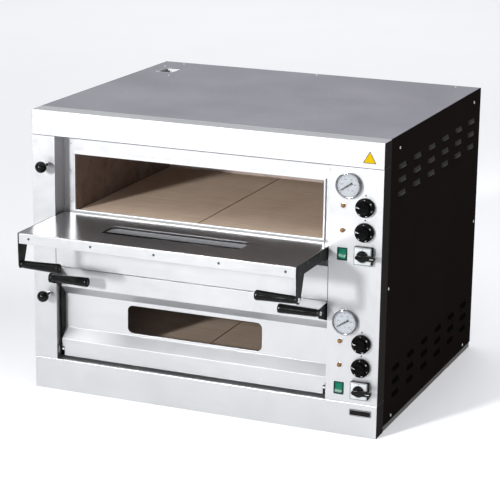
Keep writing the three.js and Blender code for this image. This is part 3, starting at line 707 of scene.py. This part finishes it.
def gauge(deck):
    spot = centre(f"{deck}_gauge_case")
    x, z = spot.x / MM, spot.z / MM
    place = facing_front(x, z)
    bezel = Body().lathe([
        (29.0, -20), (29.0, 0.3), (33.0, 0.3), (33.0, 9.2), (32.8, 10.6), (32.3, 12.0), (31.4, 12.8),
        (30.6, 13.0), (29.7, 12.7), (29.2, 11.8), (29.0, 10.4), (29.0, 7.4), (0, 7.4),
    ], place, 72)
    bezel.lathe([(0, -20), (29.0, -20)], place, 72)
    bezel.becomes(f"{deck}_gauge_bezel", BEZEL, "oven", "chrome", [f"{deck}_gauge_case"])
    Body().lathe([(28.9, 7.3), (28.9, 7.9), (27.8, 8.0), (8, 8.0), (0, 8.0)], place, 72).becomes(
        f"{deck}_gauge_dial", DIAL, "oven", "chrome")
    marks = Body()
    for index in range(51):
        major = index % 5 == 0
        spoke = place @ turn(135 + 90 - index * 5.4, "Z")
        length, width = (4.6, 0.55) if major else (2.4, 0.28)
        marks.block((26.6 - length, -width / 2, 7.95), (26.6, width / 2, 8.15), spoke)
    for index in range(6):
        angle = math.radians(225 - index * 54)
        marks.text(
            str(index * 100), 4.6,
            place @ moved(Vector((17.2 * math.cos(angle), 17.2 * math.sin(angle), 8.0))), 0.1,
        )
    marks.text("°C", 5.0, place @ moved(Vector((0, -11.5, 8.0))), 0.1)
    marks.becomes(f"{deck}_gauge_marks", INK, "oven", "chrome")
    Body().lathe([
        (29.0, 11.2), (29.0, 11.7), (28.2, 11.9), (18, 12.3), (8, 12.5), (0, 12.55),
    ], place, 64).becomes(f"{deck}_gauge_window", LENS_CLEAR, "oven", "door_glass")
    hand_place = place @ turn(-NEEDLE_LEAN, "Z")
    hand = Body().plate([(-2.2, -3), (-1.1, -24.0), (1.1, -24.0), (2.2, -3)], 9.3, 9.9, hand_place)
    hand.plate([(-2.0, 3.5), (-3.4, 13), (3.4, 13), (2.0, 3.5)], 9.3, 9.9, hand_place)
    hand.lathe([(0, 8.3), (2.6, 8.4), (2.6, 10.4), (2.0, 11.0), (0, 11.1)], place, 24)
    hand.becomes(f"{deck}_gauge_hand", INK, f"{deck}_needle", "black_plastic", [f"{deck}_gauge_needle"])


def thermostat_knob(deck, position):
    node = f"{deck}_{position}_thermostat_knob"
    body = f"{deck}_{position}_thermostat"
    spot = centre(node)
    place = facing_front(spot.x / MM, spot.z / MM)
    knob = Body().lathe([
        (0, -12), (4, -12), (4, 1), (23.4, 1), (24.2, 1.8), (24.2, 9.4), (23.9, 10.6), (23.2, 11.4),
        (22.4, 11.8), (18.8, 12.2), (17.4, 12.4), (16.8, 13.1),
    ], place, 72)
    steps, flutes = 144, 18
    wall = []
    for height, inset in ((13.1, 0), (14, 0.25), (18.8, 0.45), (20.4, 0.9), (21.5, 1.9), (22, 3.4)):
        ring = []
        for step in range(steps):
            angle = 2 * math.pi * step / steps
            wave = 0.5 - 0.5 * math.cos(flutes * angle)
            depth = 0.9 * wave ** 2 if 13.1 < height < 22 else 0.0
            radius = 16.8 - inset - depth
            ring.append(knob.bm.verts.new(place @ Vector((
                radius * math.cos(angle), radius * math.sin(angle), height))))
        wall.append(ring)
    for first, second in zip(wall, wall[1:]):
        knob.bridge(first, second)
    knob.lathe([(13.4, 22), (12.6, 21.7), (6, 21.5), (0, 21.5)], place, 72)
    pointer = place @ turn(KNOB_LEAN, "Z")
    knob.plate(rounded_outline(31.0, 7.0, 2.4), 17.0, 25.0, pointer, 1.1, 3)
    knob.becomes(node + "_grip", KNOB, body, "black_plastic", [node])
    marks = Body()
    marks.block((8.5, -0.6, 24.9), (14.2, 0.6, 25.15), pointer)
    for index in range(6):
        spoke = place @ turn(90 - index * 54, "Z")
        upright = moved(Vector((20.6, 0, 11.95))) @ turn(-90, "Z")
        marks.text(str(index * 100), 3.2, spoke @ upright, 0.15)
    marks.becomes(node + "_scale", WHITE_INK, body, "black_plastic")


def pilot_lamp(deck, position):
    z = centre(f"{deck}_{position}_thermostat_knob").z / MM
    x = centre(f"{deck}_light_rocker").x / MM
    place = facing_front(x, z)
    Body().lathe([
        (7.6, -0.2), (7.6, 0.8), (7.1, 1.4), (6.2, 1.6), (6.0, 0.9),
    ], place, 40).becomes(f"{deck}_{position}_lamp_ring", STEEL_TURNED, "oven", "chrome")
    Body().lathe([
        (6.1, -0.2), (6.1, 2.0), (5.7, 3.4), (4.8, 4.6), (3.4, 5.5), (1.8, 6.0), (0, 6.2),
    ], place, 40).becomes(f"{deck}_{position}_lamp_lens", AMBER, "oven", "green_plastic")


def rocker(deck):
    node = f"{deck}_light_rocker"
    pivot = Vector(JOINTS[f"{deck}_rocker_tilt"]["pos_m"])
    place = facing_front(centre(node).x / MM, pivot.z / MM)
    outer, inner = rounded_outline(26.5, 33.0, 1.6), rounded_outline(21.0, 27.4, 0.8)
    eased = [(x * 0.975, y * 0.98) for x, y in outer]
    bezel = Body().walls([(outer, 0.05), (outer, 1.6), (eased, 2.2), (inner, 2.2), (inner, -2.5)], place)
    bezel.becomes(f"{deck}_rocker_bezel", GREEN_DARK, "oven", "black_plastic", smooth=30)
    tilt = moved(pivot) @ turn(ROCKER_LEAN, "X") @ turn(90, "X") @ Matrix.Scale(MM, 4)
    face = Body()
    half, steps = 12.8, 10
    profile = []
    for step in range(steps + 1):
        y = -half + 2 * half * step / steps
        profile.append((y, 6.2 + 2.1 * (y / half) ** 2))
    columns = [-9.9, -9.4, -5.0, 0.0, 5.0, 9.4, 9.9]
    grid = [[face.bm.verts.new(tilt @ Vector((c, y, h - (0.6 if abs(c) > 9.5 else 0))))
             for c in columns] for y, h in profile]
    floor = [[face.bm.verts.new(tilt @ Vector((c, y, -1.8))) for c in (columns[0], columns[-1])]
             for y in (-half, half)]
    for row, following in zip(grid, grid[1:]):
        for i in range(len(columns) - 1):
            face.bm.faces.new((row[i], row[i + 1], following[i + 1], following[i]))
    face.bm.faces.new([floor[0][0], *grid[0], floor[0][1]])
    face.bm.faces.new([floor[1][1], *reversed(grid[-1]), floor[1][0]])
    face.bm.faces.new([floor[0][0], floor[1][0], *[row[0] for row in reversed(grid)]])
    face.bm.faces.new([floor[0][1], *[row[-1] for row in grid], floor[1][1]])
    face.bm.faces.new([floor[0][0], floor[0][1], floor[1][1], floor[1][0]])
    for y in (-5.6, -3.9, -2.2):
        face.block((-5.5, y, 6.2), (5.5, y + 0.7, 6.95), tilt, 0.2)
    face.becomes(f"{deck}_rocker_face", GREEN, f"{deck}_rocker", "green_plastic", [node])


def main_switch(deck):
    node = f"{deck}_switch_plate"
    low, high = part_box(node)
    spot = (low + high) / 2
    side = (high.x - low.x) / MM
    depth = (FRONT - low.y) / MM
    place = facing_front(spot.x / MM, spot.z / MM)
    base = Body().plate(rounded_outline(side, side, 2.2), 0.3, depth - 0.9, place, 0.5)
    base.becomes(f"{deck}_switch_base", KNOB, "oven", "black_plastic", [node])
    cover = Body().plate(rounded_outline(side - 1.6, side - 1.6, 1.8), depth - 1.2, depth, place, 0.4)
    cover.becomes(f"{deck}_switch_cover", SWITCH_GREY, "oven", "switch_plate")
    marks = Body()
    marks.text("0", 4.6, place @ moved(Vector((0, 18.6, depth))), 0.12)
    marks.text("1", 4.6, place @ moved(Vector((19.2, 4.6, depth))), 0.12)
    marks.block((-0.35, 13.4, depth - 0.05), (0.35, 16.0, depth + 0.12), place)
    rim = rounded_outline(side - 3.6, side - 3.6, 1.4)
    thin = rounded_outline(side - 5.6, side - 5.6, 1.0)
    marks.walls([(rim, depth), (rim, depth + 0.12), (thin, depth + 0.12), (thin, depth)], place)
    marks.becomes(f"{deck}_switch_marks", INK, "oven", "black_plastic")
    lever = Body().lathe([
        (0, -10), (5, -10), (5, depth + 0.4), (14.6, depth + 0.4), (15.2, depth + 1.2),
        (14.8, depth + 4.2), (12.6, depth + 8.2), (9.2, depth + 11.0), (5.0, depth + 12.4), (0, depth + 12.8),
    ], place, 48)
    handle = [
        (-13.0, -3.6), (-14.0, 0), (-13.0, 3.6), (-7, 6.6), (4, 7.6), (16, 6.2), (34.5, 5.2), (37.0, 3.6),
        (38.0, 0), (37.0, -3.6), (34.5, -5.2), (16, -6.2), (4, -7.6), (-7, -6.6),
    ]
    lever.plate(handle, depth + 5.5, depth + 17.0, place, 1.3, 3)
    lever.becomes(f"{deck}_switch_handle", GRIP, f"{deck}_switch", "black_plastic", [f"{deck}_switch_lever"])
    Body().block((24.5, -0.5, depth + 16.8), (34.0, 0.5, depth + 17.25), place, 0.15).becomes(
        f"{deck}_switch_pointer", WHITE_INK, f"{deck}_switch", "switch_plate")


def panel_dots():
    dots = Body()
    for deck in DECKS:
        for position in ("top", "bottom"):
            spot = centre(f"{deck}_{position}_thermostat_knob")
            place = facing_front(spot.x / MM, spot.z / MM + 30)
            dots.lathe([(2.1, -0.1), (2.1, 0.12), (1.7, 0.18), (0, 0.2)], place, 20)
    dots.becomes("panel_dots", INK, "oven", "black_plastic")


for deck in DECKS:
    gauge(deck)
    rocker(deck)
    main_switch(deck)
    for position in ("top", "bottom"):
        thermostat_knob(deck, position)
        pilot_lamp(deck, position)
panel_dots()


# ------------------------------------------------------------------ damper pulls

PULL = (-445.0, 268.0)  # X and height of the lower pull
BALL_RADIUS, BALL_REACH = 15.5, 32.0
FLAP_SIZE = (50, 22)  # length of the damper flap, and half its height


def damper_pull(deck):
    """Glossy ball on a rod that works the flap in the steam duct."""
    node = f"{deck}_damper_pull"
    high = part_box(node)[1]
    x, z = PULL[0], PULL[1] + LIFT[deck] / MM
    place = facing_front(x, z)
    ball = []
    for step in range(25):
        angle = math.pi * step / 24
        ball.append((BALL_RADIUS * math.sin(angle), BALL_REACH - BALL_RADIUS * math.cos(angle)))
    Body().lathe(ball, place, 48).lathe([
        (3.4, -1), (3.4, 10), (5.2, 10.4), (5.6, 11.4), (5.6, 15.5), (5.0, 17.5), (0, 17.5),
    ], place, 32).becomes(f"{deck}_pull_ball", BALL, f"{deck}_damper", "black_plastic", [node])
    Body().lathe([
        (6.0, -0.1), (6.0, 0.6), (5.5, 1.0), (4.1, 1.1), (4.0, 0.2),
    ], place, 36).becomes(f"{deck}_pull_rosette", ZINC, "oven", "chrome")
    back = (high.y - FRONT) / MM
    rod = Body().lathe([(3, -12), (3, -(back - 12))], place, 24)
    flap_low, flap_high = (high.x - 0.0015) / MM, high.x / MM
    length, half = FLAP_SIZE
    rod.block((flap_low, back - length, z - half), (flap_high, back, z + half), FROM_FRONT, 0.3)
    rod.block((x - 1, back - 23.5, z - 5), (flap_high, back - 20.5, z + 5), FROM_FRONT, 0.3)
    rod.becomes(f"{deck}_pull_rod", ZINC, f"{deck}_damper", "dark_stainless")


for deck in DECKS:
    damper_pull(deck)


# ------------------------------------------------------------------ doors

DOOR_TOP = 340  # height of the closed lower door's top edge
GRIP_BOLT = (-40, 326)  # depth and height of the grips' axis on the closed lower door
WINDOW_MIDDLE = 213.5  # height of the lower window's middle


def door_grip(deck, side):
    """Tapered black grip, screwed to the arm at its root."""
    node = f"{deck}_door_grip_{side}"
    lower = f"lower_door_grip_{side}"
    low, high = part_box(lower)
    middle = (low + high) / 2
    root = low.x if side == "left" else high.x
    axis = turn(90 if side == "left" else -90, "Y")
    place = moved(Vector((root, middle.y, middle.z))) @ axis @ Matrix.Scale(MM, 4)
    grip = Body().lathe([
        (0, 0), (9.0, 0), (9.5, 0.5), (9.7, 4), (9.3, 5), (9.3, 6.2), (9.9, 7.2), (10.4, 20), (11.2, 50),
        (12.2, 85), (12.8, 101), (13.0, 105), (12.7, 107.4), (11.8, 109), (10.2, 109.8), (8.4, 110),
        (7.6, 109.2), (7.2, 108.2), (0, 108.2),
    ], place, 48)
    grip.becomes(f"{deck}_grip_{side}", GRIP, f"{deck}_door", "black_plastic", [node], place=door_place(deck))
    cap = Body().lathe([
        (4.6, 108.0), (4.6, 109.0), (4.0, 109.5), (2.2, 109.5), (1.9, 108.7), (0, 108.7),
    ], place, 6)
    cap.becomes(
        f"{deck}_grip_bolt_{side}", DARK_SCREW, f"{deck}_door", "dark_stainless", place=door_place(deck))


def door_fixings(deck):
    """Screws along the top edge, and the rivets and bolts of the arms."""
    screws = Body()
    for x in (-387, -211.5, -36, 139.5, 315):
        screws.screw(facing_up(x, 32, DOOR_TOP), 3.3, 1.5)
    screws.becomes(
        f"{deck}_door_screws", DARK_SCREW, f"{deck}_door", "dark_stainless", place=door_place(deck))
    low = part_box(f"{deck}_door_arm_left")[0].x / MM
    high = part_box(f"{deck}_door_arm_right")[1].x / MM
    rivets = Body()
    for depth, z in ((39.5, 184), (39.5, 268), (26, 318), (26, 108)):
        rivets.screw(facing_right(depth, z, high), 3.4, 1.4)
        rivets.screw(facing_left(depth, z, low), 3.4, 1.4)
    rivets.becomes(f"{deck}_arm_rivets", DARK_SCREW, f"{deck}_door", "dark_stainless", place=door_place(deck))
    bolts = Body()
    for place in (facing_right(*GRIP_BOLT, high), facing_left(*GRIP_BOLT, low)):
        bolts.lathe([(6.4, -0.1), (6.4, 0.9), (5.4, 1.9), (3.0, 2.3), (2.6, 1.5), (0, 1.4)], place, 28)
    bolts.becomes(f"{deck}_arm_bolts", STEEL_TURNED, f"{deck}_door", "chrome", place=door_place(deck))


def window_trim(deck):
    """Black seal that holds the pane in the window."""
    place = facing_front(centre("lower_door_glass").x / MM, WINDOW_MIDDLE)
    seal = Body().walls([
        (rounded_outline(width, height, corner, 6), out)
        for width, height, corner, out in (
            (384.6, 76.6, 14.8, -41.6), (384.6, 76.6, 14.8, -39.9), (384.0, 76.0, 14.5, -39.7),
            (383.0, 75.0, 14.0, -40.0), (383.0, 75.0, 14.0, -41.6),
        )
    ], place, closed=True)
    seal.becomes(f"{deck}_window_seal", GRIP, f"{deck}_door", "black_plastic", place=door_place(deck))


for deck in DECKS:
    for side in ("left", "right"):
        door_grip(deck, side)
    door_fixings(deck)
    window_trim(deck)


# ------------------------------------------------------------------ chambers

def heating_element(deck, position):
    """Sheathed tube laid in four runs, with both ends leaving at the back."""
    node = f"{deck}_{position}_element"
    low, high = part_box(node)
    height = (low.z + high.z) / 2
    reach = 0.080
    middle = (low.x + high.x) / 2
    exit_y = high.y
    front_y = low.y + 0.004 + reach
    back_y = FRONT + 0.600 - reach
    columns = [middle + turns * reach for turns in (-3, -1, 1, 3)]
    points = [Vector((columns[0], exit_y, height))]
    for index in range(3):
        end_y = front_y if index % 2 == 0 else back_y
        bulge = -1 if index % 2 == 0 else 1
        for step in range(13):
            angle = math.pi * step / 12
            points.append(Vector((
                columns[index] + reach - reach * math.cos(angle),
                end_y + bulge * reach * math.sin(angle),
                height,
            )))
    points.append(Vector((columns[3], exit_y, height)))
    curve = bpy.data.curves.new(node + "_tube", "CURVE")
    curve.dimensions = "3D"
    curve.bevel_depth = 0.0039
    curve.bevel_resolution = 4
    curve.use_fill_caps = True
    spline = curve.splines.new("POLY")
    spline.points.add(len(points) - 1)
    for point, place in zip(spline.points, points):
        point.co = (*place, 1)
    curve.materials.append(ELEMENT)
    tube = bpy.data.objects.new(node + "_tube", curve)
    scene.collection.objects.link(tube)
    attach(tube, "oven")
    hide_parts(node)


def mouth_screws(deck):
    lift = LIFT[deck] / MM
    screws = Body()
    for x, z in ((-401, 165), (-401, 250), (330, 165), (330, 250), (-401, 322), (330, 322)):
        screws.screw(facing_front(x, z + lift, -53.3), 3.4, 1.5)
    screws.becomes(f"{deck}_mouth_screws", ZINC, "oven", "stainless")
    studs = Body()
    for z in (177, 262):
        studs.screw(facing_right(33, z + lift, COLUMN_EDGE), 3.0, 1.3)
        studs.screw(facing_left(33, z + lift, PANEL_EDGE), 3.0, 1.3)
    studs.becomes(f"{deck}_return_screws", ZINC, "oven", "stainless")


for deck in DECKS:
    heating_element(deck, "roof")
    heating_element(deck, "floor")
    mouth_screws(deck)


# ------------------------------------------------------------------ side panel with pressed louvres

LOUVRE = {"length": 52.0, "height": 11.0, "out": 4.4, "first": 141.0, "pitch": 121.0, "columns": 6}
LOUVRE_ROWS = (684, 648.5, 613, 152.5, 117, 81.5)
LOUVRE_DIVIDE = 400  # rows above this height take the lighter paint as painted light, those below the darker paint as painted shade


def louvre_hood(panel, side_x, depth, z):
    """Pressed hood, open along its lower edge."""
    across, down = 18, 8
    grid = []
    for row in range(down + 1):
        v = row / down
        line = []
        for column in range(across + 1):
            u = column / across
            ends = min(1.0, min(u, 1 - u) * LOUVRE["length"] / 9.0)
            ends = math.sin(ends * math.pi / 2)
            rise = math.sin(min(1.0, v * 1.05) * math.pi / 2) ** 0.9
            out = LOUVRE["out"] * ends * rise
            line.append(panel.bm.verts.new(at(
                side_x + 0.02 + out,
                depth - LOUVRE["length"] / 2 + u * LOUVRE["length"],
                z + LOUVRE["height"] / 2 - v * LOUVRE["height"],
            )))
        grid.append(line)
    for row, following in zip(grid, grid[1:]):
        for i in range(across):
            panel.bm.faces.new((row[i], row[i + 1], following[i + 1], following[i]))
    lip = []
    for vert in grid[-1]:
        inner = vert.co.copy()
        inner.x = max(side_x * MM, inner.x - 0.0011)
        lip.append(panel.bm.verts.new(inner))
    roof = []
    for vert, below in zip(grid[2], lip):
        roof.append(panel.bm.verts.new(Vector((side_x * MM, below.co.y, vert.co.z))))
    for i in range(across):
        panel.bm.faces.new((grid[-1][i], grid[-1][i + 1], lip[i + 1], lip[i]))
        panel.bm.faces.new((lip[i], lip[i + 1], roof[i + 1], roof[i]))


def side_panel():
    low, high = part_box("left_side_panel")
    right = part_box("top_fascia")[1].x
    panel = Body()
    panel.block(
        ((right - 0.002) / MM, low.y / MM, low.z / MM), (right / MM, high.y / MM, high.z / MM),
        Matrix.Scale(MM, 4), 0.6,
    )
    upper, lower, slots = Body(), Body(), Body()
    for z in LOUVRE_ROWS:
        for column in range(LOUVRE["columns"]):
            depth = LOUVRE["first"] + column * LOUVRE["pitch"]
            louvre_hood(upper if z > LOUVRE_DIVIDE else lower, right / MM, depth, z)
            half_long, half_high = LOUVRE["length"] / 2 - 3, LOUVRE["height"] / 2
            # Near-black blocks under the hoods: painted shade for the dark inside behind the louvres'
            # openings.
            slots.block(
                (right / MM - 0.5, depth - half_long, z - half_high - 3.2),
                (right / MM + 0.12, depth + half_long, z + half_high - 3.0),
                FROM_FRONT,
            )
    panel.becomes("side_panel_louvred", PAINT, "oven", "black_paint", ["right_side_panel"], smooth=50)
    # Painted light and shade: the upper louvres take a lighter black, as if lit from above, the lower ones a
    # darker black, as if shaded.
    upper.becomes("upper_louvres", LIT_LOUVRE_PAINT, "oven", "black_paint", smooth=50)
    lower.becomes("lower_louvres", SHADED_LOUVRE_PAINT, "oven", "black_paint", smooth=50)
    slots.becomes("louvre_slots", DEEP_BLACK, "oven", "black_paint")


# Lit and shaded copies of the black paint for the louvres: painted light above, painted shade below.
LIT_LOUVRE_PAINT = painted("louvre_paint_lit", (0.015, 0.0135, 0.0125), (0.06, 0.055, 0.05), 0.5, 0.1)
SHADED_LOUVRE_PAINT = painted("louvre_paint_shaded", (0.0022, 0.0020, 0.0019), (0.012, 0.011, 0.010), 0.6, 0.0)
DEEP_BLACK = painted("slot_shadow", (0.0015, 0.0015, 0.0015), (0.003, 0.003, 0.003), 0.8, 0.02)
side_panel()


# ------------------------------------------------------------------ casing screws, labels

def casing_screws():
    side = Body()
    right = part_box("top_fascia")[1].x / MM
    for depth, z in ((118, 732), (770, 734), (62, 381), (818, 381), (113, 28), (758, 28)):
        side.screw(facing_right(depth, z, right), 4.0, 1.8)
        side.screw(facing_left(depth, z, -right), 4.0, 1.8)
    side.becomes("side_screws", ZINC, "oven", "stainless")
    top = Body()
    for x, depth in ((-380, 616), (-455, 751), (-439, 664), (-420, 810), (420, 810), (0, 815)):
        top.screw(facing_up(x, depth, 765), 4.0, 1.8)
    top.becomes("cover_screws", ZINC, "oven", "stainless")
    back = Body()
    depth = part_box("back_panel")[1].y / MM - FRONT / MM
    for x in (-470, -235, 0, 235, 470):
        for z in (30, 750):
            back.screw(facing_back(x, z, depth), 4.0, 1.8)
    for z in (270, 510):
        for x in (-470, 470):
            back.screw(facing_back(x, z, depth), 4.0, 1.8)
    back.becomes("back_screws", ZINC, "oven", "stainless")


def triangle_label():
    """Plain yellow triangle with a dark edge."""
    place = facing_front(449, 721.5)
    Body().plate(triangle(20.6, 1.6), 0.02, 0.22, place).becomes(
        "triangle_edge", INK, "oven", "badge", smooth=30)
    Body().plate(triangle(17.6, 1.2), 0.1, 0.3, place).becomes(
        "triangle_label", YELLOW, "oven", "badge", smooth=30)


def triangle(radius, rounding, steps=4):
    points = []
    for corner in range(3):
        middle = 90 + corner * 120
        towards = Vector((math.cos(math.radians(middle)), math.sin(math.radians(middle))))
        centre_point = towards * (radius - 2 * rounding)
        for step in range(steps + 1):
            angle = math.radians(middle - 60 + 120 * step / steps)
            points.append((
                centre_point.x + rounding * math.cos(angle), centre_point.y + rounding * math.sin(angle),
            ))
    return points


def seams():
    """Dark strips in the joints between the sheets of the front: painted shade standing in for the shadow in
    the gaps.
    """
    joints = Body()
    place = facing_front(0, 0)
    for x0, x1, z in ((-487, 487, 698.3), (-487, 487, 87.2)):
        joints.block((x0, z - 0.55, -0.5), (x1, z + 0.55, 0.12), place)
    for x in (-421.3, 347.8):
        joints.block((x - 0.7, 347.7, -0.5), (x + 0.7, 439, 0.12), place)
    joints.becomes("front_seam_shade", INK, "oven", "stainless")


seams()


def badge():
    low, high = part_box("badge_plaque")
    spot = (low + high) / 2
    width, height = (high.x - low.x) / MM, (high.z - low.z) / MM
    place = facing_front(spot.x / MM, spot.z / MM)
    plaque = Body().plate(rounded_outline(width, height, 3), 0.3, 1.4, place, 0.35)
    plaque.becomes("badge_plate", BADGE, "oven", "badge", ["badge_plaque"])
    outer = rounded_outline(width - 2.6, height - 2.6, 2)
    inner = rounded_outline(width - 3.8, height - 3.8, 1.5)
    border = Body().walls([(outer, 1.35), (outer, 1.5), (inner, 1.5), (inner, 1.35)], place)
    border.becomes("badge_border", STEEL_TURNED, "oven", "badge")


casing_screws()
triangle_label()
badge()


# ------------------------------------------------------------------ floor

def make_floor():
    mesh = bpy.data.meshes.new("floor")
    reach = 60.0
    mesh.from_pydata(
        [(-reach, -reach, 0), (reach, -reach, 0), (reach, reach, 0), (-reach, reach, 0)], [], [(0, 1, 2, 3)],
    )
    mesh.materials.append(plain_floor())
    floor = bpy.data.objects.new("floor", mesh)
    scene.collection.objects.link(floor)


make_floor()
